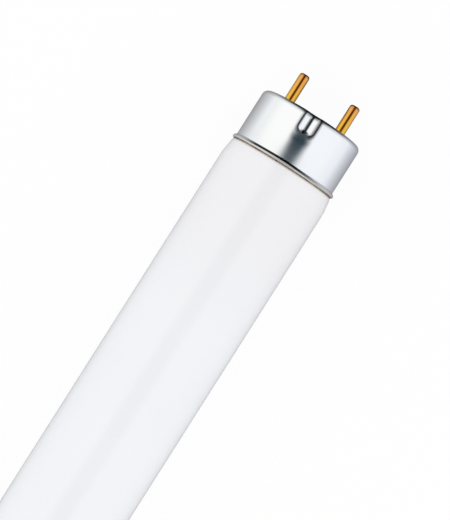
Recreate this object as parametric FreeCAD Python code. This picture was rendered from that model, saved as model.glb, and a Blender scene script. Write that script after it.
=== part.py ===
"""Linear fluorescent lamp with a two-pin cap at each end, in millimetres.

The lamp lies along X with its middle at the origin. The two pins of a cap stand side by side
along Y, and the two dents of a cap face up and down, along Z. Everything at an end is placed
by how far it lies in from that cap's end face. The right end, towards +X, is drawn first, and
the left end is a copy of it turned round.
"""
import FreeCAD, Part

import os
from math import atan2, sin, tan

# The whole lamp
cap_face_distance = 589.8   # from one cap's end face to the other's
tube_diameter = 25.5        # outside of the glass along the lamp's middle

# Contact pins, two in each cap
pin_diameter = 2.35
pin_spacing = 12.7          # between the axes of a cap's two pins
pin_length = 7.1            # out of the cap's end face
pin_tip_rounding = 0.6
pin_wall = 0.42
root_width = 0.25           # by which the pin is thicker on each side where the plate holds it
root_clearance = 0.02       # round the root in its hole in the plate
collar_width = 0.475        # of the collar before the plate and the flange riveted behind it
collar_height = 0.3

# Drawn aluminium shell of the cap
shell_beyond_pin = 5.7      # from a pin's axis to the outside of the shell's wall
opening_beyond_pin = 2.95   # from a pin's axis to the edge of the opening in the end face
shell_wall = 0.35
shell_height = 12.3         # from the end face to the edge of the lip
corner_rounding = 1.3       # outside, between the wall and the end face
lip_height = 0.5            # of the straight lip
lip_flare = 0.55            # of the lip, out from the wall
step_height = 0.42          # over which the wall steps out to the lip
step_rounding = 0.3         # outside, at the foot of that step
lip_rounding = 0.5          # outside, at its top
edge_rounding = 0.1         # of the sheet's cut edges

# Dents in the shell's wall, which key the base plate
dent_radius = 1.95          # of the round punch that makes them
dent_depth = 0.83
dent_length = 4.4           # from the end face to the punch's end
dent_end_margin = 0.05      # by which the rounding of the punch's end is more than the depth
dent_edge = 1.3             # rounding between the dent and the wall

# Moulded base plate that carries the pins
plate_thickness = 1.8       # behind the shell's end face
plate_clearance = 0.05      # inside the shell, round its dents and in its end opening
plate_edge = 0.3            # rounding of its back edge

# Sealed glass tube, with a stem folded into each end
glass_start = 5.5           # from the cap's end face to the rounded end of the glass
cement_gap = 0.4            # from the shell's bore to the glass inside the cap
glass_below_lip = 0.3       # from the lip's outside to the glass where it comes out
shoulder_length = 1.4       # of the slope from the glass inside the cap to the glass outside
shoulder_rounding = 0.9
shoulder_gap = 0.6          # from the lip's edge to the top of that slope
taper_length = 3.2          # over which the glass widens from there to its full diameter
taper_rounding = 10.0       # where it reaches that diameter
rim_thickness = 1.6         # of the rounded end, where the stem is fused to the tube
stem_bore = 9.6             # inside of the stem's straight part, open towards the cap
flare_length = 9.5          # over which the stem widens from there to the rim
flare_rounding = 6.0
stem_depth = 21.5           # from the rounded end of the glass to the stem's closed bottom
exhaust_diameter = 4.6      # sealed-off exhaust tube that stands in the stem
exhaust_length = 19.0       # from the stem's bottom to the exhaust tube's tip
exhaust_nose = 2.2          # length of the tapered tip
glass_fillet = 0.5          # where the exhaust tube and the bore meet the stem's bottom

# Lead wires from the stem to the tips of the pins
wire_diameter = 0.6
wire_clearance = 0.04       # round the wire in the pin's tip
wire_bend = 1.6             # radius of both bends, at the wire's middle
wire_rise = 2.4             # from the back of the plate to the bend behind the pin
wire_slope = 4.5            # along the lamp, from that bend to the bend in the stem's mouth

# Cement between the shell and the glass
cement_length = 5.0         # from the lip's edge into the shell
bead_height = 0.25          # of the bead that shows between the lip and the glass

# Worked out from the sizes above
end_face = cap_face_distance / 2
tube_radius = tube_diameter / 2
pin_line = pin_spacing / 2
pin_radius = pin_diameter / 2
root_radius = pin_radius + root_width
shell_radius = pin_line + shell_beyond_pin
opening_radius = pin_line + opening_beyond_pin
lip_radius = shell_radius + lip_flare
step_top = shell_height - lip_height
step_half_slope = atan2(lip_flare, step_height) / 2
dent_axis = shell_radius - dent_depth + dent_radius
dent_end_rounding = dent_depth + dent_end_margin
plate_back = shell_wall + plate_thickness
neck_radius = shell_radius - shell_wall - cement_gap
stem_bottom = glass_start + stem_depth
exhaust_radius = exhaust_diameter / 2
wire_radius = wire_diameter / 2
wire_line = (exhaust_radius + stem_bore / 2) / 2
far_out = tube_diameter     # a reach that is clear of the lamp
tiny = 1e-6                 # sizes that differ by less are the same

MIDDLE = FreeCAD.Vector(0, 0, 0)
ALONG = FreeCAD.Vector(1, 0, 0)
UP = FreeCAD.Vector(0, 0, 1)


def at(inward, height, beside=0.0):
    """The point that lies inward of the right cap's end face, above and beside the axis."""
    return FreeCAD.Vector(end_face - inward, beside, height)


def rounded_path(points, roundings, closed):
    """A wire of straight runs through the points, with an arc of its own radius at each."""
    count = len(points)
    bends = []
    for i, corner in enumerate(points):
        if roundings[i] == 0:
            bends.append((corner, None, corner))
            continue
        back = (points[i - 1] - corner).normalize()
        onward = (points[(i + 1) % count] - corner).normalize()
        half_angle = back.getAngle(onward) / 2
        reach = roundings[i] / tan(half_angle)
        crown = (back + onward).normalize() * (roundings[i] / sin(half_angle) - roundings[i])
        bends.append((corner + back * reach, corner + crown, corner + onward * reach))
    edges = []
    for i, (start, crown, end) in enumerate(bends):
        if crown is not None:
            edges.append(Part.Arc(start, crown, end).toShape())
        if closed or i + 1 < count:
            next_start = bends[(i + 1) % count][0]
            edges.append(Part.LineSegment(end, next_start).toShape())
    return Part.Wire(edges)


def section(corners, beside=0.0):
    """The flat face whose corners are given as (inward, height, rounding)."""
    points = [at(inward, height, beside) for inward, height, _ in corners]
    roundings = [rounding for _, _, rounding in corners]
    return Part.Face(rounded_path(points, roundings, closed=True))


def turned(face, beside=0.0):
    """The solid that a section makes when it is turned about the lamp's axis or beside it."""
    return face.revolve(FreeCAD.Vector(0, beside, 0), ALONG, 360)


# Glass tube

def glass_outline():
    """Corners of one end of the sealed glass, from the exhaust tube's tip to the full tube."""
    exhaust_tip = stem_bottom - exhaust_length
    rim_inside = neck_radius - rim_thickness
    rim_rounding = rim_thickness * 0.49     # just short of a full half round
    shoulder_top = shell_height + shoulder_gap
    return [
        (exhaust_tip, 0, 0),
        (exhaust_tip, exhaust_radius / 2, exhaust_radius / 4),
        (exhaust_tip + exhaust_nose, exhaust_radius, exhaust_nose / 2),
        (stem_bottom, exhaust_radius, glass_fillet),
        (stem_bottom, stem_bore / 2, glass_fillet),
        (glass_start + flare_length, stem_bore / 2, flare_rounding),
        (glass_start + rim_thickness, rim_inside, rim_thickness),
        (glass_start, rim_inside, rim_rounding),
        (glass_start, neck_radius, rim_rounding),
        (shoulder_top - shoulder_length, neck_radius, shoulder_rounding),
        (shoulder_top, lip_radius - glass_below_lip, shoulder_rounding),
        (shoulder_top + taper_length, tube_radius, taper_rounding),
    ]


def glass_section():
    """The whole sealed tube, cut through its axis."""
    right = glass_outline()
    left = [(cap_face_distance - inward, radius, rounding) for inward, radius, rounding in right]
    return section(right + left[::-1])


# Cap shell

def step_corners(inset):
    """Foot and top of the step between wall and lip, on a line that runs inset under the outside."""
    lower = inset * tan(step_half_slope)
    return [
        (step_top - step_height + lower, shell_radius - inset, step_rounding + inset),
        (step_top + lower, lip_radius - inset, lip_rounding - inset),
    ]


def shell_profile(inset):
    """Corners of the cup's outside, or of the space inside it where inset is the wall."""
    return [
        (inset, 0, 0),
        (inset, shell_radius - inset, corner_rounding - inset),
        *step_corners(inset),
        (shell_height, lip_radius - inset, edge_rounding if inset == 0 else 0),
        (shell_height, 0, 0),
    ]


def dent_punch(grown_by, side):
    """The punch of the dent above or below the axis, grown by a wall or a gap."""
    length = dent_length + grown_by
    punch_end = at(length, side * dent_axis)
    punch = Part.makeCylinder(dent_radius + grown_by, length + far_out, punch_end, ALONG)
    end_edges = [edge for edge in punch.Edges if abs(edge.CenterOfMass.x - punch_end.x) < tiny]
    return punch.makeFillet(dent_end_rounding + grown_by, end_edges)


def is_punched(face, inset):
    """Whether the punch made a face: with its side, or with the rounding of its end."""
    surface = face.Surface
    if isinstance(surface, Part.Toroid):
        return abs(surface.MajorRadius - (dent_radius - dent_end_rounding)) < tiny
    return isinstance(surface, Part.Cylinder) and abs(surface.Radius - (dent_radius + inset)) < tiny


def pressed_body(inset):
    """The outside of the dented cup, or the space inside it where inset is the wall."""
    body = turned(section(shell_profile(inset)))
    for side in (1, -1):
        body = body.cut(dent_punch(inset, side))
    solid = body.Solids[0]
    dent_edges = []
    for edge in solid.Edges:
        punched = [is_punched(face, inset) for face in solid.ancestorsOfType(edge, Part.Face)]
        if sum(punched) == 1 and len(punched) == 2:
            dent_edges.append(edge)
    return solid.makeFillet(dent_edge - inset, dent_edges)


def opening_tool():
    """What the end opening takes away, with the sheet's outer edge left rounded."""
    return turned(section([
        (-shell_wall, 0, 0),
        (-shell_wall, opening_radius + edge_rounding * 2, 0),
        (0, opening_radius + edge_rounding * 2, 0),
        (0, opening_radius, edge_rounding),
        (shell_wall * 2, opening_radius, 0),
        (shell_wall * 2, 0, 0),
    ]))


def cap_shell():
    """The drawn cup. Its wall keeps its thickness where the punch pushed it in."""
    return pressed_body(0).cut(pressed_body(shell_wall)).cut(opening_tool())


# Base plate

def base_plate():
    """The moulded plate: it follows the cup and its dents, and a boss fills the end opening."""
    inset = shell_wall + plate_clearance
    disc = turned(section([
        (0, 0, 0),
        (0, shell_radius - inset, 0),
        (plate_back, shell_radius - inset, plate_edge),
        (plate_back, 0, 0),
    ]))
    boss = turned(section([
        (0, 0, 0),
        (0, opening_radius - plate_clearance, edge_rounding),
        (plate_back - plate_edge, opening_radius - plate_clearance, 0),
        (plate_back - plate_edge, 0, 0),
    ]))
    plate = disc.common(pressed_body(inset)).fuse(boss).removeSplitter()
    for side in (1, -1):
        hole_start = at(plate_back + shell_wall, 0, side * pin_line)
        hole_radius = root_radius + root_clearance
        plate = plate.cut(Part.makeCylinder(hole_radius, plate_back * 2, hole_start, ALONG))
    return plate


# Contact pins

def contact_pin(side):
    """The hollow pin, held by its collar before the plate and its riveted flange behind it."""
    bore = pin_radius - pin_wall
    tip_hole = wire_radius + wire_clearance
    collar = pin_radius + collar_width
    return turned(section([
        (-pin_length, tip_hole, 0),
        (-pin_length, pin_radius, pin_tip_rounding),
        (-collar_height, pin_radius, 0),
        (-collar_height, collar, collar_height / 2),
        (0, collar, 0),
        (0, root_radius, 0),
        (plate_back, root_radius, 0),
        (plate_back, collar, 0),
        (plate_back + collar_height, collar, collar_height / 2),
        (plate_back + collar_height, bore, 0),
        (pin_wall - pin_length, bore, pin_wall / 2),
        (pin_wall - pin_length, tip_hole, 0),
    ], side * pin_line), side * pin_line)


# Lead wires

def lead_wire(side):
    """The wire from the stem's bottom, out through its mouth and into the pin up to its tip."""
    near_pin = plate_back + wire_rise
    points = [
        at(stem_bottom, 0, side * wire_line),
        at(near_pin + wire_slope, 0, side * wire_line),
        at(near_pin, 0, side * pin_line),
        at(-pin_length, 0, side * pin_line),
    ]
    path = rounded_path(points, [0, wire_bend, wire_bend, 0], closed=False)
    end = Part.Wire(Part.makeCircle(wire_radius, points[0], ALONG))
    return path.makePipeShell([end], True, True)


# Cement

def cement():
    """The ring of cement that fills the gap from the shell to the glass, and its bead."""
    start = shell_height - cement_length
    wall_middle = shell_wall / 2
    bead_edge = shell_height + bead_height
    bead_radius = lip_radius - shell_wall
    gap = section([
        (start, neck_radius - shell_wall, 0),
        (start, shell_radius - wall_middle, 0),
        *step_corners(wall_middle),
        (shell_height, lip_radius - wall_middle, 0),
        (shell_height, bead_radius, 0),
        (bead_edge, bead_radius, bead_height / 3),
        (bead_edge, neck_radius - shell_wall, 0),
    ])
    wall = section(shell_profile(0)).cut(section(shell_profile(shell_wall)))
    return turned(gap.cut(wall).cut(glass_section()).Faces[0])


def cap_pieces():
    """The pieces of the right cap. Its front pin is the one towards -Y."""
    return {
        "cap_shell": cap_shell(),
        "base_plate": base_plate(),
        "cement_ring": cement(),
        "pin_front": contact_pin(-1),
        "pin_back": contact_pin(1),
        "lead_wire_front": lead_wire(-1),
        "lead_wire_back": lead_wire(1),
    }


def other_side(name):
    """The name of the piece whose place a piece takes when its cap is turned round."""
    if name.endswith("front"):
        return name.replace("front", "back")
    return name.replace("back", "front")


pieces = {"glass_tube": turned(glass_section())}
for name, shape in cap_pieces().items():
    pieces["right_" + name] = shape
    pieces["left_" + other_side(name)] = shape.rotated(MIDDLE, UP, 180)

os.makedirs("parts", exist_ok=True)
for name, shape in pieces.items():
    shape.exportStep(os.path.join("parts", name + ".step"))
    print(f"{name}: {len(shape.Solids)} solid, valid {shape.isValid()}, {shape.Volume:.3f} mm3")
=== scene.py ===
"""A straight fluorescent lamp lying on a pale floor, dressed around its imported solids.

The lamp lies along X. What is the same at both ends is worked out by how far it lies in from a
cap's end face. Sizes are in millimetres where they are named, and metres in the meshes.
"""

import math

import bmesh
import bpy
import numpy as np
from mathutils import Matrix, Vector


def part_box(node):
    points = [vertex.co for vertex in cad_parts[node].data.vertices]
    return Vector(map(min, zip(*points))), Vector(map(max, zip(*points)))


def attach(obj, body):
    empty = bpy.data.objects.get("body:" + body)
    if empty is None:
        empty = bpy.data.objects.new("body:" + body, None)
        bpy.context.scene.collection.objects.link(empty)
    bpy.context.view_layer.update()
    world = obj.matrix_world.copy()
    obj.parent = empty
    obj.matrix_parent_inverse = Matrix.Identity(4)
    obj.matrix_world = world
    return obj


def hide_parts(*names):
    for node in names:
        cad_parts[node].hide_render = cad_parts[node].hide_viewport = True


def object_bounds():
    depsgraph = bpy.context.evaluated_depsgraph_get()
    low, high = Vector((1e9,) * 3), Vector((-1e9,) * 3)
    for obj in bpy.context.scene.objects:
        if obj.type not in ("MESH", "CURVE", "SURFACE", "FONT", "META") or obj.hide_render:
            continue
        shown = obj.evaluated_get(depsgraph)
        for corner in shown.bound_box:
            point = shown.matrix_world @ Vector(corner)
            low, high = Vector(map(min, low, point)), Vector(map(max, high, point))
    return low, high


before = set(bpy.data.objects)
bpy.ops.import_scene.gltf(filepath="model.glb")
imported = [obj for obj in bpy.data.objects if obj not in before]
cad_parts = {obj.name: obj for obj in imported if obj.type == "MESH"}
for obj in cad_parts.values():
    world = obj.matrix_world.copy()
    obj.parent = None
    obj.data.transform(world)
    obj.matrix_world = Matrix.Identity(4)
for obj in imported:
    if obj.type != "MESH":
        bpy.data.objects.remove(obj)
cad_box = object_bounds()
scene = bpy.context.scene
scene.view_settings.view_transform = "Standard"

# Camera: straight over the lamp's right end, far enough off that the tube hardly narrows.
# The picture is turned so that the lamp's pins point up and to the right.
camera_height_mm = 430.0        # over the lamp's axis
camera_inward_mm = 35.6         # from the right cap's end face
camera_sideways_mm = -0.28
picture_turn = math.radians(57.6)       # of the lamp's axis, above the picture's level
picture_height_mm = 111.2       # of what the picture shows at the lamp's axis

mm = 0.001
end_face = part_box("right_cap_shell")[1].x
camera_data = bpy.data.cameras.new("camera")
camera_data.sensor_fit = "VERTICAL"
camera_data.angle_y = 2 * math.atan(picture_height_mm / 2 / camera_height_mm)
camera = bpy.data.objects.new("camera", camera_data)
camera.location = (end_face - camera_inward_mm * mm, camera_sideways_mm * mm, camera_height_mm * mm)
camera.rotation_euler = (0, 0, -picture_turn)
scene.collection.objects.link(camera)
scene.camera = camera

# Studio: a white tent that lights the lamp evenly, with a slot along its top and open mouths at
# both of the lamp's ends. Only polished surfaces mirror the dim slot and the dark mouths.
tent_left = "#FFFFFE"           # towards +Y
tent_right = "#F7FAFF"          # towards -Y
tent_foot = "#F3F4F6"           # near the floor
side_change = 0.6               # of a direction's Y, over which one side's colour turns into the other's
foot_rise = 0.45                # of a direction's Z, up to which the foot's colour reaches
slot_colour = "#32424B"
slot_core = math.radians(8)     # from the top, where the slot is darkest
slot_edge = math.radians(26)    # from the top, where the white begins
mouth_colour = "#2B3135"
mouth_core = math.radians(7)    # from the lamp's line
mouth_edge = math.radians(36)
mouth_low = math.radians(15)    # over the floor's level
mouth_high = math.radians(85)


def linear(hex_colour):
    """A colour written as sRGB hex, as linear red, green, blue and alpha."""
    srgb = np.array([int(hex_colour[i:i + 2], 16) for i in (1, 3, 5)]) / 255
    low, high = srgb / 12.92, ((srgb + 0.055) / 1.055) ** 2.4
    return (*np.where(srgb <= 0.04045, low, high).tolist(), 1.0)


def add(tree, kind, settings=None, **links):
    """A node of a kind, with its settings, and its inputs set to values or linked to sockets."""
    node = tree.nodes.new(kind)
    for name, value in (settings or {}).items():
        setattr(node, name, value)
    for name, value in links.items():
        key = int(name[1:]) if name[0] == "i" and name[1:].isdigit() else name.replace("_", " ")
        if isinstance(value, bpy.types.NodeSocket):
            tree.links.new(value, node.inputs[key])
        else:
            node.inputs[key].default_value = value
    return node


world = bpy.data.worlds.new("light tent")
world.use_nodes = True
scene.world = world
tree = world.node_tree
tree.nodes.clear()
end = tree.nodes.new("ShaderNodeOutputWorld")
direction = add(tree, "ShaderNodeTexCoord")
towards = add(tree, "ShaderNodeSeparateXYZ", Vector=direction.outputs["Generated"])
lean = add(tree, "ShaderNodeMath", {"operation": "ARCTAN2"}, i0=towards.outputs["Y"], i1=towards.outputs["Z"])
off_top = add(tree, "ShaderNodeMath", {"operation": "ABSOLUTE"}, i0=lean.outputs[0])
slot = add(tree, "ShaderNodeMapRange", {"interpolation_type": "SMOOTHSTEP"}, Value=off_top.outputs[0],
           From_Min=slot_core, From_Max=slot_edge, To_Min=1.0, To_Max=0.0)
along = add(tree, "ShaderNodeMath", {"operation": "ABSOLUTE"}, i0=towards.outputs["X"])
aside = add(tree, "ShaderNodeMath", {"operation": "ABSOLUTE"}, i0=towards.outputs["Y"])
off_line = add(tree, "ShaderNodeMath", {"operation": "ARCTAN2"}, i0=aside.outputs[0], i1=along.outputs[0])
in_mouth = add(tree, "ShaderNodeMapRange", {"interpolation_type": "SMOOTHSTEP"}, Value=off_line.outputs[0],
               From_Min=mouth_core, From_Max=mouth_edge, To_Min=1.0, To_Max=0.0)
rise = add(tree, "ShaderNodeMath", {"operation": "ARCSINE"}, i0=towards.outputs["Z"])
low_down = add(tree, "ShaderNodeMapRange", {"interpolation_type": "SMOOTHSTEP"}, Value=rise.outputs[0],
               From_Min=mouth_low, From_Max=mouth_high, To_Min=1.0, To_Max=0.0)
mouth = add(tree, "ShaderNodeMath", {"operation": "MULTIPLY"}, i0=in_mouth.outputs[0], i1=low_down.outputs[0])
side = add(tree, "ShaderNodeMapRange", {"interpolation_type": "SMOOTHSTEP"}, Value=towards.outputs["Y"],
           From_Min=-side_change, From_Max=side_change, To_Min=0.0, To_Max=1.0)
foot = add(tree, "ShaderNodeMapRange", {"interpolation_type": "SMOOTHSTEP"}, Value=towards.outputs["Z"],
           From_Min=0.0, From_Max=foot_rise, To_Min=1.0, To_Max=0.0)
cloth = add(tree, "ShaderNodeMix", {"data_type": "RGBA"}, i0=side.outputs[0], i6=linear(tent_right),
            i7=linear(tent_left))
tent = add(tree, "ShaderNodeMix", {"data_type": "RGBA"}, i0=foot.outputs[0], i6=cloth.outputs[2],
           i7=linear(tent_foot))
slotted = add(tree, "ShaderNodeMix", {"data_type": "RGBA"}, i0=slot.outputs[0], i6=tent.outputs[2],
              i7=linear(slot_colour))
mirrored = add(tree, "ShaderNodeMix", {"data_type": "RGBA"}, i0=mouth.outputs[0], i6=slotted.outputs[2],
               i7=linear(mouth_colour))
path = add(tree, "ShaderNodeLightPath")
seen = add(tree, "ShaderNodeMix", {"data_type": "RGBA"}, i0=path.outputs["Is Glossy Ray"], i6=(1, 1, 1, 1),
           i7=mirrored.outputs[2])
background = add(tree, "ShaderNodeBackground", Color=seen.outputs[2], Strength=1.0)
tree.links.new(background.outputs[0], end.inputs["Surface"])

# Floor: a plain white sheet that the lamp lies on, with the lamp's own soft shadow. The camera
# sees it lifted to white. Metal sees it with a painted shadow, darker the nearer it is to the lamp,
# and painted dark where it runs out through the tent's mouths.
floor_half_width = 3.0          # in metres
floor_colour = "#FAFAFA"
floor_lift = 0.92               # share of the camera's view of the floor that is plain white
painted_shadow_reach_mm = 36.0             # from the lamp's line, over which the painted shadow that metal sees fades
floor_sides_mm = 5.0            # from the lamp's line, over which the next two pairs of colours blend
open_floor = ("#F0F2FA", "#F3F5F8")     # that metal mirrors, towards -Y and +Y
floor_painted_shadow = ("#04081E", "#02040C")    # painted shadow close under the lamp, towards -Y and +Y
way_out_core = math.radians(14)         # from the lamp's line, where it runs out of the tent
way_out_edge = math.radians(60)


def new_material(name):
    """An empty material, its tree, and the node that ends it."""
    material = bpy.data.materials.new(name)
    material.use_nodes = True
    material.node_tree.nodes.clear()
    return material, material.node_tree, material.node_tree.nodes.new("ShaderNodeOutputMaterial")


def mesh_piece(name, vertices, faces):
    """A smooth mesh object at the origin, from whole arrays of points and of faces."""
    mesh = bpy.data.meshes.new(name)
    mesh.from_pydata(vertices.tolist(), [], faces)
    mesh.validate()
    mesh.shade_smooth()
    piece = bpy.data.objects.new(name, mesh)
    scene.collection.objects.link(piece)
    return piece


floor_paper, tree, end = new_material("white seamless paper")
paper = add(tree, "ShaderNodeBsdfDiffuse", Color=linear(floor_colour))
plain_white = add(tree, "ShaderNodeEmission", Color=(1, 1, 1, 1), Strength=1.0)
place = add(tree, "ShaderNodeTexCoord")
spot = add(tree, "ShaderNodeSeparateXYZ", Vector=place.outputs["Object"])
along = add(tree, "ShaderNodeMath", {"operation": "ABSOLUTE"}, i0=spot.outputs["X"])
aside = add(tree, "ShaderNodeMath", {"operation": "ABSOLUTE"}, i0=spot.outputs["Y"])
# the share of painted shadow that metal sees, falling off with distance from the lamp's line
steps_out = add(tree, "ShaderNodeMath", {"operation": "DIVIDE"}, i0=aside.outputs[0], i1=-painted_shadow_reach_mm * mm)
painted_shadow_share = add(tree, "ShaderNodeMath", {"operation": "EXPONENT"}, i0=steps_out.outputs[0])
beyond = add(tree, "ShaderNodeMath", {"operation": "SUBTRACT"}, i0=along.outputs[0], i1=end_face)
off_line = add(tree, "ShaderNodeMath", {"operation": "ARCTAN2"}, i0=aside.outputs[0], i1=beyond.outputs[0])
way_out = add(tree, "ShaderNodeMapRange", {"interpolation_type": "SMOOTHSTEP"}, Value=off_line.outputs[0],
              From_Min=way_out_core, From_Max=way_out_edge, To_Min=1.0, To_Max=0.0)
side = add(tree, "ShaderNodeMapRange", Value=spot.outputs["Y"], From_Min=-floor_sides_mm * mm,
           From_Max=floor_sides_mm * mm, To_Min=0.0, To_Max=1.0)
sheet = add(tree, "ShaderNodeMix", {"data_type": "RGBA"}, i0=side.outputs[0], i6=linear(open_floor[0]),
            i7=linear(open_floor[1]))
painted_shadow_tone = add(tree, "ShaderNodeMix", {"data_type": "RGBA"}, i0=side.outputs[0], i6=linear(floor_painted_shadow[0]),
            i7=linear(floor_painted_shadow[1]))
shadow_painted_floor = add(tree, "ShaderNodeMix", {"data_type": "RGBA"}, i0=painted_shadow_share.outputs[0], i6=sheet.outputs[2],
             i7=painted_shadow_tone.outputs[2])
# beyond the lamp's ends the floor that metal sees is painted dark
in_metal = add(tree, "ShaderNodeMix", {"data_type": "RGBA"}, i0=way_out.outputs[0], i6=shadow_painted_floor.outputs[2],
               i7=linear(mouth_colour))
mirrored = add(tree, "ShaderNodeEmission", Color=in_metal.outputs[2], Strength=1.0)
path = add(tree, "ShaderNodeLightPath")
lift = add(tree, "ShaderNodeMath", {"operation": "MULTIPLY"}, i0=path.outputs["Is Camera Ray"], i1=floor_lift)
lifted = add(tree, "ShaderNodeMixShader", i0=lift.outputs[0], i1=paper.outputs[0], i2=plain_white.outputs[0])
both = add(tree, "ShaderNodeMixShader", i0=path.outputs["Is Glossy Ray"], i1=lifted.outputs[0],
           i2=mirrored.outputs[0])
tree.links.new(both.outputs[0], end.inputs["Surface"])

floor_level = cad_box[0][2]
corners = np.array([(-1, -1, 0), (1, -1, 0), (1, 1, 0), (-1, 1, 0)]) * floor_half_width
corners[:, 2] = floor_level
floor = mesh_piece("floor", corners, [(0, 1, 2, 3)])
floor.data.materials.append(floor_paper)

# Glass tube: soda-lime glass with a white phosphor coat inside, so that it looks like china.
# Each end is drawn in to a neck, and a stem with its exhaust tube is fused into it.
# The neck, the stem and the rim stand inside the cap.
tube_diameter_mm = 25.5
lip_glass_diameter_mm = 24.6    # where the glass comes out of the cap's lip
neck_diameter_mm = 22.6         # inside the cap
shoulder_mm = (11.5, 12.9)      # foot and top of the slope, from the cap's end face
shoulder_rounding_mm = 0.9
taper_end_mm = 16.1             # from the end face, as are the next four
glass_start_mm = 5.5
stem_bottom_mm = 27.0
flare_end_mm = 15.0
exhaust_tip_mm = 8.0
taper_rounding_mm = 10.0
stem_bore_mm = 9.6
flare_rounding_mm = 6.0
rim_mm = 1.6                    # thickness of the rounded end, where tube and stem are one
rim_roundness = 0.49            # of the rim's thickness, so that its two arcs almost meet
exhaust_diameter_mm = 4.6
exhaust_nose_mm = 2.2           # length of the sealed tip's taper
nose_rounding_mm = 1.1
glass_fillet_mm = 0.5           # at the stem's bottom
pole_radius_mm = 0.2            # of the small flat that closes the exhaust tube's tip
arc_steps = 9                   # points on each rounding
glass_segments = 144
ring_spacing_mm = 8.0


def rounded_profile(corners, steps):
    """The outline through corners (along, radius, rounding), with an arc at each.

    An arc's middle lies on the corner's bisector, at the rounding over the sine of half the
    corner's angle, and its points turn evenly from one side's tangent point to the other's."""
    corners = np.array(corners, float)
    points, rounding = corners[:, :2], corners[:, 2:]
    back = np.vstack([points[:1], points[:-1]]) - points
    onward = np.vstack([points[1:], points[-1:]]) - points
    back[0], onward[-1] = -onward[0], -back[-1]
    back /= np.linalg.norm(back, axis=1, keepdims=True)
    onward /= np.linalg.norm(onward, axis=1, keepdims=True)
    half = np.arccos(np.clip((back * onward).sum(1, keepdims=True), -1, 1)) / 2
    bisector = back + onward
    bisector /= np.maximum(np.linalg.norm(bisector, axis=1, keepdims=True), 1e-9)
    middle = points + bisector * rounding / np.sin(half)
    tangent = points + back * rounding / np.tan(half)
    radial = tangent - middle
    turn = np.sign(back[:, :1] * onward[:, 1:] - back[:, 1:] * onward[:, :1]) * (math.pi - 2 * half)
    angle = -turn[:, None, :] * np.linspace(0, 1, steps)[None, :, None]
    across = np.stack([-radial[:, 1], radial[:, 0]], 1)
    arcs = middle[:, None] + radial[:, None] * np.cos(angle) + across[:, None] * np.sin(angle)
    outline = arcs.reshape(-1, 2)
    keep = np.ones(len(outline), bool)
    keep[1:] = np.linalg.norm(np.diff(outline, axis=0), axis=1) > 1e-4
    return outline[keep]


def with_rings(outline, spacing):
    """The outline with more points, so that no run between two of them is longer than spacing."""
    reach = np.concatenate([[0], np.cumsum(np.linalg.norm(np.diff(outline, axis=0), axis=1))])
    stops = np.unique(np.concatenate([reach, np.arange(0, reach[-1], spacing)]))
    stops = stops[np.concatenate([[True], np.diff(stops) > 1e-3])]
    return np.stack([np.interp(stops, reach, outline[:, 0]), np.interp(stops, reach, outline[:, 1])], 1)


def turned(outline, segments):
    """Points (x, r cos a, r sin a) for each outline point (x, r) and each angle a.

    Both ends are closed with one face."""
    angle = np.arange(segments) * 2 * math.pi / segments
    along, radius = outline[:, 0], outline[:, 1]
    rings = [np.repeat(along[:, None], segments, 1), radius[:, None] * np.cos(angle), radius[:, None] * np.sin(angle)]
    ring = np.arange(len(outline) - 1)[:, None] * segments
    here, there = np.arange(segments), (np.arange(segments) + 1) % segments
    quads = np.stack([ring + here, ring + segments + here, ring + segments + there, ring + there], -1).reshape(-1, 4)
    last = (len(outline) - 1) * segments
    return np.stack(rings, -1).reshape(-1, 3), quads.tolist() + [here.tolist(), (last + here[::-1]).tolist()]


def glass_corners():
    """Corners of the glass at one end, from the tip of the exhaust tube out to the full tube."""
    exhaust, neck = exhaust_diameter_mm / 2, neck_diameter_mm / 2
    return np.array([
        (exhaust_tip_mm, exhaust / 2, exhaust / 4),
        (exhaust_tip_mm + exhaust_nose_mm, exhaust, nose_rounding_mm),
        (stem_bottom_mm, exhaust, glass_fillet_mm),
        (stem_bottom_mm, stem_bore_mm / 2, glass_fillet_mm),
        (flare_end_mm, stem_bore_mm / 2, flare_rounding_mm),
        (glass_start_mm + rim_mm, neck - rim_mm, rim_mm),
        (glass_start_mm, neck - rim_mm, rim_mm * rim_roundness),
        (glass_start_mm, neck, rim_mm * rim_roundness),
        (shoulder_mm[0], neck, shoulder_rounding_mm),
        (shoulder_mm[1], lip_glass_diameter_mm / 2, shoulder_rounding_mm),
        (taper_end_mm, tube_diameter_mm / 2, taper_rounding_mm),
    ])


def end_distance(tree):
    """A point's place, and how many millimetres it lies in from its cap's end face."""
    place = add(tree, "ShaderNodeTexCoord")
    xyz = add(tree, "ShaderNodeSeparateXYZ", Vector=place.outputs["Object"])
    outward = add(tree, "ShaderNodeMath", {"operation": "ABSOLUTE"}, i0=xyz.outputs["X"])
    inward = add(tree, "ShaderNodeMath", {"operation": "MULTIPLY_ADD"}, i0=outward.outputs[0], i1=-1 / mm,
                 i2=end_face / mm)
    return place.outputs["Object"], inward.outputs[0]


start = np.array([[exhaust_tip_mm, pole_radius_mm, 0.0]])
right_end = np.vstack([start, glass_corners()])
right_end[:, 0] = end_face / mm - right_end[:, 0]
left_end = right_end[::-1] * (-1, 1, 1)
outline = rounded_profile(np.vstack([right_end, left_end]), arc_steps)
glass_points, glass_faces = turned(with_rings(outline, ring_spacing_mm) * mm, glass_segments)
glass_tube = mesh_piece("coated_glass_tube", glass_points, glass_faces)

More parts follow.
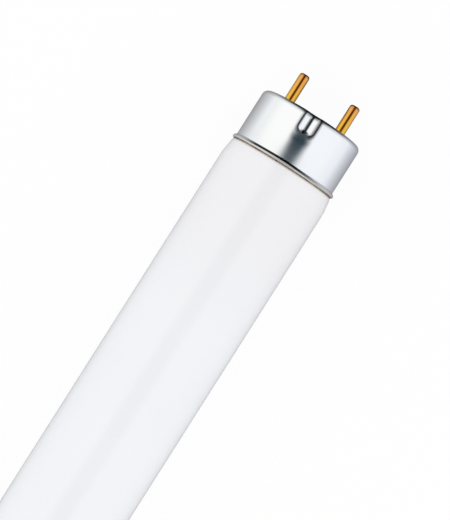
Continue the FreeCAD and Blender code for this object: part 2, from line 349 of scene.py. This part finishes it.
# Blown glass over phosphor: a hard clear gloss on flat white, with the coat's faint clouds.
# The coat is cool white, and loses some of its blue towards the caps, where the glass was worked hot.
# A film of fine dust on the glass brightens it where it is seen aslant.
coat_cloud_mm = 16.0
coat_whites = ("#F0F2F5", "#F4F6F9")
worked_hot_white = "#F1F0F3"
worked_hot_mm = (16.0, 60.0)    # from the end face, over which the coat gets back its cool white
dust_share = 0.2
coated_glass, tree, end = new_material("soda-lime glass over white phosphor coat")
position, inward = end_distance(tree)
clouds = add(tree, "ShaderNodeTexNoise", Vector=position, Scale=1 / (coat_cloud_mm * mm), Detail=3.0, Roughness=0.5)
cool_white = add(tree, "ShaderNodeMix", {"data_type": "RGBA"}, i0=clouds.outputs["Fac"], i6=linear(coat_whites[0]),
                 i7=linear(coat_whites[1]))
worked_hot = add(tree, "ShaderNodeMapRange", {"interpolation_type": "SMOOTHSTEP"}, Value=inward,
                 From_Min=worked_hot_mm[0], From_Max=worked_hot_mm[1], To_Min=1.0, To_Max=0.0)
coat_colour = add(tree, "ShaderNodeMix", {"data_type": "RGBA"}, i0=worked_hot.outputs[0], i6=cool_white.outputs[2],
                  i7=linear(worked_hot_white))
glass = add(tree, "ShaderNodeBsdfPrincipled", Base_Color=coat_colour.outputs[2], Roughness=0.07, IOR=1.52,
            Sheen_Weight=dust_share, Sheen_Roughness=0.3)
tree.links.new(glass.outputs[0], end.inputs["Surface"])
glass_tube.data.materials.append(coated_glass)
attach(glass_tube, "root")
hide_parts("glass_tube")

# Cap shells: aluminium sheet, deep drawn and bright, stepped out to a lip at the glass.
# The metal is scuffed duller towards the lip, where the cap is handled and trimmed. Shade and dark
# reflections are painted in the dent, round its edge, past it, round the rim and at the step's foot.
shell_height_mm = 12.3
lip_height_mm = 0.5
step_height_mm = 0.42
dent_half_width_mm = 1.96       # where the metal turns level at the dent's edge
dent_end_mm = 5.1               # from the end face
dent_corner_mm = 1.2            # of the dent's outline
side_blend_mm = 1.0             # from the middle, over which a value for -Y turns into the one for +Y

clean_metal = "#FAFBFB"
# painted dark reflection along the middle of the rim
rim_reflection_grey = "#DDE0E1"
lip_metal = "#E8E8E6"
# the dark colour of the painted shade and painted dark reflections on the cap
painted_shade_colour = "#1A1D20"
rim_reflection_aside_mm = (4.0, 9.0)        # aside, over which the rim's painted dark reflection ends
rim_band_mm = (0.75, 1.15)      # from the end face, over which it ends
lip_start_mm = (-0.05, 0.15)    # from the step's top

step_line_mm = (0.19, 0.33)     # half width of the line at the step, dark and with its soft edge
step_line_up_mm = 0.04          # from the middle of the step towards the end face
step_line_bow = 0.033           # by which it bends towards the glass, for each mm aside
step_line_tilt = 0.013          # by which it leans towards the glass, for each mm towards -Y
step_line_grows_mm = (-11.0, -2.0)      # along Y
step_line_thins_mm = (7.0, 11.0)
step_line_shares = (0.15, 0.97)         # of painted shade, where the line is thin and where it is full

edge_inwards_mm = 0.17          # by which the line at the dent's -Y edge lies inside that edge
edge_core_mm = 0.1              # half width of the line's darkest part
edge_reach_mm = (0.85, 0.6)     # half width with its soft edge, towards -Y and +Y
edge_shares = (0.72, 0.5)       # of painted reflection, towards -Y and +Y
edge_aside_mm = (0.7, 1.5)      # from the middle, over which the line sets in

groove_off_mm = 0.25            # from the dent's middle line to where its painted shade lies
groove_mm = (0.1, 0.5)          # half width of it, dark and with its soft edge
groove_top_mm = (0.7, 1.2)      # from the end face, over which it sets in
groove_thick_mm = (1.1, 0.7)    # before the dent's end, over which it grows thicker
groove_foot_mm = (0.45, 0.15)   # before the dent's end, over which it ends
groove_shares = (0.72, 0.93)    # of painted shade, above and where it is thicker

funnel_width_mm = 3.7           # at the end face, of the band that narrows from there past the dent
funnel_slope = 0.25             # by which it narrows, for each mm inward
funnel_core_mm = 0.8
funnel_share = 0.28             # of painted reflection
funnel_top_mm = (1.5, 0.3)      # before the dent's end, over which it sets in
funnel_length_mm = 2.5          # past the dent's end, over which it fades
funnel_edge_mm = (-0.3, 0.2)    # from the dent's edge

rim_line_mm = (0.55, 1.35)      # from the end face, over which the rim's painted reflection ends
rim_shares = (0.45, 0.1)        # of painted reflection, inside the dent and elsewhere
rim_edge_mm = (-0.5, 0.1)       # from the dent's edge, between those two

line_width_mm = 0.12            # of the fine lines that turning leaves round the wall
line_run = 60.0                 # pattern scale along those lines
line_roughness = 0.04
scuffed_mm = (4.5, 11.0)        # from the end face, over which the wall grows duller
wall_roughness = (0.06, 0.22)
lip_roughness = 0.3             # more than the wall's
worked_mm = (0.2, 1.6)          # from the dent's edge, over which the worked metal is duller
worked_roughness = 0.1
pulled_in_mm = 0.06             # by which the punch draws the wall in below the dent
pulled_aside_mm = 3.6           # from the middle, as far as that reaches
pulled_edge_mm = (-0.2, 1.8)    # from the dent's edge, over which it sets in

drawn_aluminium, tree, end = new_material("aluminium sheet, deep drawn bright")
position, inward = end_distance(tree)
step_top_mm = shell_height_mm - lip_height_mm
crosswise = add(tree, "ShaderNodeSeparateXYZ", Vector=position)
aside = add(tree, "ShaderNodeMath", {"operation": "ABSOLUTE"}, i0=crosswise.outputs["Y"])
aside_mm = add(tree, "ShaderNodeMath", {"operation": "MULTIPLY"}, i0=aside.outputs[0], i1=1 / mm)

# Painted shade at the step's foot: a bowed dark line, full in the middle.
line_bow = add(tree, "ShaderNodeMath", {"operation": "MULTIPLY_ADD"}, i0=aside_mm.outputs[0], i1=step_line_bow,
               i2=step_top_mm - step_height_mm / 2 - step_line_up_mm)
line_at = add(tree, "ShaderNodeMath", {"operation": "MULTIPLY_ADD"}, i0=crosswise.outputs["Y"],
              i1=-step_line_tilt / mm, i2=line_bow.outputs[0])
off_foot = add(tree, "ShaderNodeMath", {"operation": "SUBTRACT"}, i0=inward, i1=line_at.outputs[0])
away = add(tree, "ShaderNodeMath", {"operation": "ABSOLUTE"}, i0=off_foot.outputs[0])
in_step = add(tree, "ShaderNodeMapRange", {"interpolation_type": "SMOOTHSTEP"}, Value=away.outputs[0],
              From_Min=step_line_mm[0], From_Max=step_line_mm[1], To_Min=1.0, To_Max=0.0)
gathered = add(tree, "ShaderNodeMapRange", {"interpolation_type": "SMOOTHSTEP"}, Value=crosswise.outputs["Y"],
               From_Min=step_line_grows_mm[0] * mm, From_Max=step_line_grows_mm[1] * mm,
               To_Min=step_line_shares[0], To_Max=step_line_shares[1])
thinned = add(tree, "ShaderNodeMapRange", {"interpolation_type": "SMOOTHSTEP"}, Value=crosswise.outputs["Y"],
              From_Min=step_line_thins_mm[0] * mm, From_Max=step_line_thins_mm[1] * mm,
              To_Min=gathered.outputs[0], To_Max=step_line_shares[0])
step_painted_shade = add(tree, "ShaderNodeMath", {"operation": "MULTIPLY"}, i0=in_step.outputs[0], i1=thinned.outputs[0])

# Distance from the dent's edge, which is a straight band with rounded corners: more than 0
# outside it. A painted dark reflection lies along that edge at both sides.
past_side = add(tree, "ShaderNodeMath", {"operation": "SUBTRACT"}, i0=aside_mm.outputs[0],
                i1=dent_half_width_mm - dent_corner_mm)
past_end = add(tree, "ShaderNodeMath", {"operation": "SUBTRACT"}, i0=inward, i1=dent_end_mm - dent_corner_mm)
over_side = add(tree, "ShaderNodeMath", {"operation": "MAXIMUM"}, i0=past_side.outputs[0], i1=0.0)
over_end = add(tree, "ShaderNodeMath", {"operation": "MAXIMUM"}, i0=past_end.outputs[0], i1=0.0)
over = add(tree, "ShaderNodeCombineXYZ", X=over_side.outputs[0], Y=over_end.outputs[0])
reach = add(tree, "ShaderNodeVectorMath", {"operation": "LENGTH"}, i0=over.outputs[0])
off_edge = add(tree, "ShaderNodeMath", {"operation": "SUBTRACT"}, i0=reach.outputs["Value"], i1=dent_corner_mm)
edge_inwards = add(tree, "ShaderNodeMapRange", Value=crosswise.outputs["Y"], From_Min=-side_blend_mm * mm,
                   From_Max=side_blend_mm * mm, To_Min=edge_inwards_mm, To_Max=0.0)
off_edge_line = add(tree, "ShaderNodeMath", {"operation": "ADD"}, i0=off_edge.outputs[0], i1=edge_inwards.outputs[0])
near_edge = add(tree, "ShaderNodeMath", {"operation": "ABSOLUTE"}, i0=off_edge_line.outputs[0])
edge_reach = add(tree, "ShaderNodeMapRange", Value=crosswise.outputs["Y"], From_Min=-side_blend_mm * mm,
                 From_Max=side_blend_mm * mm, To_Min=edge_reach_mm[0], To_Max=edge_reach_mm[1])
side_share = add(tree, "ShaderNodeMapRange", Value=crosswise.outputs["Y"], From_Min=-side_blend_mm * mm,
                 From_Max=side_blend_mm * mm, To_Min=edge_shares[0], To_Max=edge_shares[1])
edge_share = add(tree, "ShaderNodeMapRange", {"interpolation_type": "SMOOTHSTEP"}, Value=aside_mm.outputs[0],
                 From_Min=edge_aside_mm[0], From_Max=edge_aside_mm[1], To_Min=0.0, To_Max=side_share.outputs[0])
edge_painted_reflection = add(tree, "ShaderNodeMapRange", {"interpolation_type": "SMOOTHSTEP"}, Value=near_edge.outputs[0],
                   From_Min=edge_core_mm, From_Max=edge_reach.outputs[0], To_Min=edge_share.outputs[0], To_Max=0.0)

# Painted shade and dark reflection along the dent's middle, thicker towards its end.
from_groove = add(tree, "ShaderNodeMath", {"operation": "SUBTRACT"}, i0=crosswise.outputs["Y"],
                  i1=groove_off_mm * mm)
off_groove = add(tree, "ShaderNodeMath", {"operation": "ABSOLUTE"}, i0=from_groove.outputs[0])
groove_start = add(tree, "ShaderNodeMapRange", {"interpolation_type": "SMOOTHSTEP"}, Value=inward,
                   From_Min=groove_top_mm[0], From_Max=groove_top_mm[1], To_Min=0.0, To_Max=groove_shares[0])
groove_share = add(tree, "ShaderNodeMapRange", {"interpolation_type": "SMOOTHSTEP"}, Value=inward,
                   From_Min=dent_end_mm - groove_thick_mm[0], From_Max=dent_end_mm - groove_thick_mm[1],
                   To_Min=groove_start.outputs[0], To_Max=groove_shares[1])
in_groove = add(tree, "ShaderNodeMapRange", {"interpolation_type": "SMOOTHSTEP"}, Value=off_groove.outputs[0],
                From_Min=groove_mm[0] * mm, From_Max=groove_mm[1] * mm, To_Min=groove_share.outputs[0], To_Max=0.0)
before_end = add(tree, "ShaderNodeMapRange", {"interpolation_type": "SMOOTHSTEP"}, Value=inward,
                 From_Min=dent_end_mm - groove_foot_mm[0], From_Max=dent_end_mm - groove_foot_mm[1],
                 To_Min=1.0, To_Max=0.0)
groove_painted_shade = add(tree, "ShaderNodeMath", {"operation": "MULTIPLY"}, i0=in_groove.outputs[0],
                     i1=before_end.outputs[0])
dent_painted_shade = add(tree, "ShaderNodeMath", {"operation": "MAXIMUM"}, i0=edge_painted_reflection.outputs[0],
                   i1=groove_painted_shade.outputs[0])

# Painted dark reflection past the dent's end, and round the rim.
funnel = add(tree, "ShaderNodeMath", {"operation": "MULTIPLY_ADD"}, i0=inward, i1=-funnel_slope * mm,
             i2=funnel_width_mm * mm)
funnel_aside = add(tree, "ShaderNodeMapRange", {"interpolation_type": "SMOOTHSTEP"}, Value=off_groove.outputs[0],
                   From_Min=funnel_core_mm * mm, From_Max=funnel.outputs[0], To_Min=funnel_share, To_Max=0.0)
funnel_start = add(tree, "ShaderNodeMapRange", {"interpolation_type": "SMOOTHSTEP"}, Value=inward,
                   From_Min=dent_end_mm - funnel_top_mm[0], From_Max=dent_end_mm - funnel_top_mm[1],
                   To_Min=0.0, To_Max=1.0)
funnel_fade = add(tree, "ShaderNodeMapRange", {"interpolation_type": "SMOOTHSTEP"}, Value=inward,
                  From_Min=dent_end_mm, From_Max=dent_end_mm + funnel_length_mm,
                  To_Min=funnel_start.outputs[0], To_Max=0.0)
past_edge = add(tree, "ShaderNodeMapRange", {"interpolation_type": "SMOOTHSTEP"}, Value=off_edge.outputs[0],
                From_Min=funnel_edge_mm[0], From_Max=funnel_edge_mm[1], To_Min=0.0, To_Max=funnel_fade.outputs[0])
funnel_painted_reflection = add(tree, "ShaderNodeMath", {"operation": "MULTIPLY"}, i0=funnel_aside.outputs[0],
                     i1=past_edge.outputs[0])
rim_share = add(tree, "ShaderNodeMapRange", {"interpolation_type": "SMOOTHSTEP"}, Value=off_edge.outputs[0],
                From_Min=rim_edge_mm[0], From_Max=rim_edge_mm[1], To_Min=rim_shares[0], To_Max=rim_shares[1])
rim_line_painted_reflection = add(tree, "ShaderNodeMapRange", {"interpolation_type": "SMOOTHSTEP"}, Value=inward,
                  From_Min=rim_line_mm[0], From_Max=rim_line_mm[1], To_Min=rim_share.outputs[0], To_Max=0.0)
round_painted_shade = add(tree, "ShaderNodeMath", {"operation": "MAXIMUM"}, i0=rim_line_painted_reflection.outputs[0],
                    i1=step_painted_shade.outputs[0])
pressed_painted_shade = add(tree, "ShaderNodeMath", {"operation": "MAXIMUM"}, i0=dent_painted_shade.outputs[0],
                      i1=funnel_painted_reflection.outputs[0])
painted_shade = add(tree, "ShaderNodeMath", {"operation": "MAXIMUM"}, i0=pressed_painted_shade.outputs[0],
              i1=round_painted_shade.outputs[0])

# Colour: bright metal, with a painted dark reflection on the rim's middle and duller on the lip, under the painted
# shade.
rim_reflection_aside = add(tree, "ShaderNodeMapRange", {"interpolation_type": "SMOOTHSTEP"}, Value=aside_mm.outputs[0],
               From_Min=rim_reflection_aside_mm[0], From_Max=rim_reflection_aside_mm[1], To_Min=1.0, To_Max=0.0)
on_rim = add(tree, "ShaderNodeMapRange", {"interpolation_type": "SMOOTHSTEP"}, Value=inward,
             From_Min=rim_band_mm[0], From_Max=rim_band_mm[1], To_Min=rim_reflection_aside.outputs[0], To_Max=0.0)
on_lip = add(tree, "ShaderNodeMapRange", {"interpolation_type": "SMOOTHSTEP"}, Value=inward,
             From_Min=step_top_mm + lip_start_mm[0], From_Max=step_top_mm + lip_start_mm[1], To_Min=0.0, To_Max=1.0)
rim_reflection_tone = add(tree, "ShaderNodeMix", {"data_type": "RGBA"}, i0=on_rim.outputs[0], i6=linear(clean_metal),
               i7=linear(rim_reflection_grey))
lip_tone = add(tree, "ShaderNodeMix", {"data_type": "RGBA"}, i0=on_lip.outputs[0], i6=rim_reflection_tone.outputs[2],
               i7=linear(lip_metal))
# painted shade and painted dark reflections darken the metal here
metal_colour = add(tree, "ShaderNodeMix", {"data_type": "RGBA"}, i0=painted_shade.outputs[0], i6=lip_tone.outputs[2],
                   i7=linear(painted_shade_colour))

# Roughness: turning lines, scuffs towards the lip, and worked metal round the dent.
stretch = add(tree, "ShaderNodeMapping", Vector=position, Scale=(1 / (line_width_mm * mm), line_run, line_run))
lines = add(tree, "ShaderNodeTexNoise", Vector=stretch.outputs[0], Scale=1.0, Detail=2.0)
fine = add(tree, "ShaderNodeMapRange", Value=lines.outputs["Fac"], From_Min=0.3, From_Max=0.7, To_Min=0.0,
           To_Max=line_roughness)
scuffed = add(tree, "ShaderNodeMapRange", {"interpolation_type": "SMOOTHSTEP"}, Value=inward,
              From_Min=scuffed_mm[0], From_Max=scuffed_mm[1], To_Min=wall_roughness[0], To_Max=wall_roughness[1])
trimmed = add(tree, "ShaderNodeMath", {"operation": "MULTIPLY_ADD"}, i0=on_lip.outputs[0], i1=lip_roughness,
              i2=scuffed.outputs[0])
worked = add(tree, "ShaderNodeMapRange", {"interpolation_type": "SMOOTHSTEP"}, Value=near_edge.outputs[0],
             From_Min=worked_mm[0], From_Max=worked_mm[1], To_Min=worked_roughness, To_Max=0.0)
pressed = add(tree, "ShaderNodeMath", {"operation": "ADD"}, i0=trimmed.outputs[0], i1=worked.outputs[0])
shine = add(tree, "ShaderNodeMath", {"operation": "ADD"}, i0=pressed.outputs[0], i1=fine.outputs[0])

# Relief: the shallow dish that the punch draws in below the dent.
aside_share = add(tree, "ShaderNodeMapRange", {"interpolation_type": "SMOOTHERSTEP"}, Value=aside_mm.outputs[0],
                  From_Min=0.0, From_Max=pulled_aside_mm, To_Min=1.0, To_Max=0.0)
well_past = add(tree, "ShaderNodeMapRange", {"interpolation_type": "SMOOTHSTEP"}, Value=off_edge.outputs[0],
                From_Min=pulled_edge_mm[0], From_Max=pulled_edge_mm[1], To_Min=0.0, To_Max=aside_share.outputs[0])
pulled = add(tree, "ShaderNodeMath", {"operation": "MULTIPLY"}, i0=well_past.outputs[0], i1=funnel_fade.outputs[0])
pulled_in = add(tree, "ShaderNodeBump", {"invert": True}, Height=pulled.outputs[0], Strength=1.0,
                Distance=pulled_in_mm * mm)
aluminium = add(tree, "ShaderNodeBsdfPrincipled", Base_Color=metal_colour.outputs[2], Metallic=1.0,
                Roughness=shine.outputs[0], Normal=pulled_in.outputs[0])
tree.links.new(aluminium.outputs[0], end.inputs["Surface"])

ends = ("right", "left")
sides = ("front", "back")
weld_mm = 0.002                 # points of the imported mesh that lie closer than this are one
sharp_edge = math.radians(35)


def seamless(node, name, material):
    """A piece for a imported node: its mesh with doubled points merged, smooth but for sharp edges."""
    shape = bmesh.new()
    shape.from_mesh(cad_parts[node].data)
    bmesh.ops.remove_doubles(shape, verts=shape.verts, dist=weld_mm * mm)
    mesh = bpy.data.meshes.new(name)
    shape.to_mesh(mesh)
    shape.free()
    if "custom_normal" in mesh.attributes:
        mesh.attributes.remove(mesh.attributes["custom_normal"])
    mesh.shade_smooth()
    mesh.set_sharp_from_angle(angle=sharp_edge)
    mesh.materials.clear()
    mesh.materials.append(material)
    piece = bpy.data.objects.new(name, mesh)
    scene.collection.objects.link(piece)
    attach(piece, "root")
    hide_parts(node)


for cap_end in ends:
    seamless(f"{cap_end}_cap_shell", f"{cap_end}_drawn_shell", drawn_aluminium)

# Base plates: brown phenolic, moulded with its two pin holes, dull and finely speckled.
filler_grain_mm = 0.4
filler_relief_mm = 0.05
phenolic_browns = ("#3A2418", "#5A3B28")
phenolic, tree, end = new_material("phenolic, moulded")
place = add(tree, "ShaderNodeTexCoord")
filler = add(tree, "ShaderNodeTexNoise", Vector=place.outputs["Object"], Scale=1 / (filler_grain_mm * mm),
             Detail=4.0)
tone = add(tree, "ShaderNodeMix", {"data_type": "RGBA"}, i0=filler.outputs["Fac"], i6=linear(phenolic_browns[0]),
           i7=linear(phenolic_browns[1]))
grain = add(tree, "ShaderNodeBump", Height=filler.outputs["Fac"], Strength=0.15, Distance=filler_relief_mm * mm)
moulded = add(tree, "ShaderNodeBsdfPrincipled", Base_Color=tone.outputs[2], Roughness=0.42, IOR=1.6,
              Normal=grain.outputs[0])
tree.links.new(moulded.outputs[0], end.inputs["Surface"])
for cap_end in ends:
    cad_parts[f"{cap_end}_base_plate"].material_slots[0].material = phenolic

# Contact pins: brass tube, drawn and turned over at the tip, with a painted dark reflection along each pin's middle
# and at its tip.
# The heat of sealing the lead wire in has tinged the brass towards the tip.
pin_length_mm = 7.1
pin_offset_mm = 6.35            # from the lamp's axis
scratch_width_mm = 0.3
scratch_run = 300.0             # pattern scale along the pin
centre_reflection_mm = (0.15, 0.47)           # from the pin's middle, over which the painted reflection stripe fades
centre_reflection_share = 0.85
tip_reflection_mm = (0.1, 0.9)             # from the tip, over which its painted dark reflection fades
# painted dark reflection at the pin's tip
tip_reflection_brass = "#967440"
heated_brass = "#EDA860"        # towards the tip
base_brass = "#F5C03E"
# painted dark reflection stripe along the pin's middle
centre_reflection_brass = "#AE5E19"
brass_roughness = (0.12, 0.24)  # in the noise's lower and upper values
pin_brass, tree, end = new_material("brass, drawn and tumbled")
position, inward = end_distance(tree)
towards_base = add(tree, "ShaderNodeMapRange", Value=inward, From_Min=-pin_length_mm, From_Max=0.0, To_Min=0.0,
                   To_Max=1.0)
scratches_across = 1 / (scratch_width_mm * mm)
rubbed = add(tree, "ShaderNodeMapping", Vector=position, Scale=(scratch_run, scratches_across, scratches_across))
scratches = add(tree, "ShaderNodeTexNoise", Vector=rubbed.outputs[0], Scale=1.0, Detail=3.0)
crosswise = add(tree, "ShaderNodeSeparateXYZ", Vector=position)
from_middle = add(tree, "ShaderNodeMath", {"operation": "ABSOLUTE"}, i0=crosswise.outputs["Y"])
off_pin = add(tree, "ShaderNodeMath", {"operation": "SUBTRACT"}, i0=from_middle.outputs[0], i1=pin_offset_mm * mm)
off_centre_reflection = add(tree, "ShaderNodeMath", {"operation": "ABSOLUTE"}, i0=off_pin.outputs[0])
# a painted dark reflection stripe along each pin's middle
painted_centre_reflection = add(tree, "ShaderNodeMapRange", {"interpolation_type": "SMOOTHSTEP"}, Value=off_centre_reflection.outputs[0],
          From_Min=centre_reflection_mm[0] * mm, From_Max=centre_reflection_mm[1] * mm, To_Min=centre_reflection_share, To_Max=0.0)
drawn_tone = add(tree, "ShaderNodeMix", {"data_type": "RGBA"}, i0=towards_base.outputs[0], i6=linear(heated_brass),
                 i7=linear(base_brass))
# painted dark reflection at the tip
at_tip = add(tree, "ShaderNodeMapRange", {"interpolation_type": "SMOOTHSTEP"}, Value=inward,
             From_Min=tip_reflection_mm[0] - pin_length_mm, From_Max=tip_reflection_mm[1] - pin_length_mm, To_Min=1.0, To_Max=0.0)
brass_tone = add(tree, "ShaderNodeMix", {"data_type": "RGBA"}, i0=at_tip.outputs[0], i6=drawn_tone.outputs[2],
                 i7=linear(tip_reflection_brass))
shine = add(tree, "ShaderNodeMapRange", Value=scratches.outputs["Fac"], From_Min=0.3, From_Max=0.7,
            To_Min=brass_roughness[0], To_Max=brass_roughness[1])
centre_reflection_tone = add(tree, "ShaderNodeMix", {"data_type": "RGBA"}, i0=painted_centre_reflection.outputs[0], i6=brass_tone.outputs[2],
                  i7=linear(centre_reflection_brass))
brass = add(tree, "ShaderNodeBsdfPrincipled", Base_Color=centre_reflection_tone.outputs[2], Metallic=1.0,
            Roughness=shine.outputs[0])
tree.links.new(brass.outputs[0], end.inputs["Surface"])
for cap_end in ends:
    for pin_side in sides:
        seamless(f"{cap_end}_pin_{pin_side}", f"{cap_end}_contact_pin_{pin_side}", pin_brass)

# Lead wires: nickel-plated iron, dull, its cut end fused into the pin's tip.
plating_grain_mm = 0.25
nickel_greys = ("#5A5348", "#8A8478")
lead_wire, tree, end = new_material("nickel-plated wire")
place = add(tree, "ShaderNodeTexCoord")
plating = add(tree, "ShaderNodeTexNoise", Vector=place.outputs["Object"], Scale=1 / (plating_grain_mm * mm),
              Detail=2.0)
tone = add(tree, "ShaderNodeMix", {"data_type": "RGBA"}, i0=plating.outputs["Fac"], i6=linear(nickel_greys[0]),
           i7=linear(nickel_greys[1]))
nickel = add(tree, "ShaderNodeBsdfPrincipled", Base_Color=tone.outputs[2], Metallic=1.0, Roughness=0.4)
tree.links.new(nickel.outputs[0], end.inputs["Surface"])
for cap_end in ends:
    for pin_side in sides:
        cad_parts[f"{cap_end}_lead_wire_{pin_side}"].material_slots[0].material = lead_wire

# Cement rings: basing cement, baked brown and grainy, of which a thin bead shows at the lip.
cement_grit_mm = 0.33
cement_relief_mm = 0.1
cement_patch_mm = 2.0
cement_browns = ("#7E5432", "#A2946A")
cement, tree, end = new_material("basing cement, baked")
place = add(tree, "ShaderNodeTexCoord")
grit = add(tree, "ShaderNodeTexNoise", Vector=place.outputs["Object"], Scale=1 / (cement_grit_mm * mm), Detail=4.0,
           Roughness=0.7)
patches = add(tree, "ShaderNodeTexNoise", Vector=place.outputs["Object"], Scale=1 / (cement_patch_mm * mm),
              Detail=2.0)
patch_edge = add(tree, "ShaderNodeMapRange", Value=patches.outputs["Fac"], From_Min=0.35, From_Max=0.65, To_Min=0.0,
                 To_Max=1.0)
warm = add(tree, "ShaderNodeMix", {"data_type": "RGBA"}, i0=patch_edge.outputs[0], i6=linear(cement_browns[0]),
           i7=linear(cement_browns[1]))
tone = add(tree, "ShaderNodeMix", {"data_type": "RGBA", "blend_type": "MULTIPLY"}, i0=0.3, i6=warm.outputs[2],
           i7=grit.outputs["Color"])
rough = add(tree, "ShaderNodeBump", Height=grit.outputs["Fac"], Strength=0.6, Distance=cement_relief_mm * mm)
baked = add(tree, "ShaderNodeBsdfPrincipled", Base_Color=tone.outputs[2], Roughness=0.85, Normal=rough.outputs[0])
tree.links.new(baked.outputs[0], end.inputs["Surface"])
for cap_end in ends:
    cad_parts[f"{cap_end}_cement_ring"].material_slots[0].material = cement
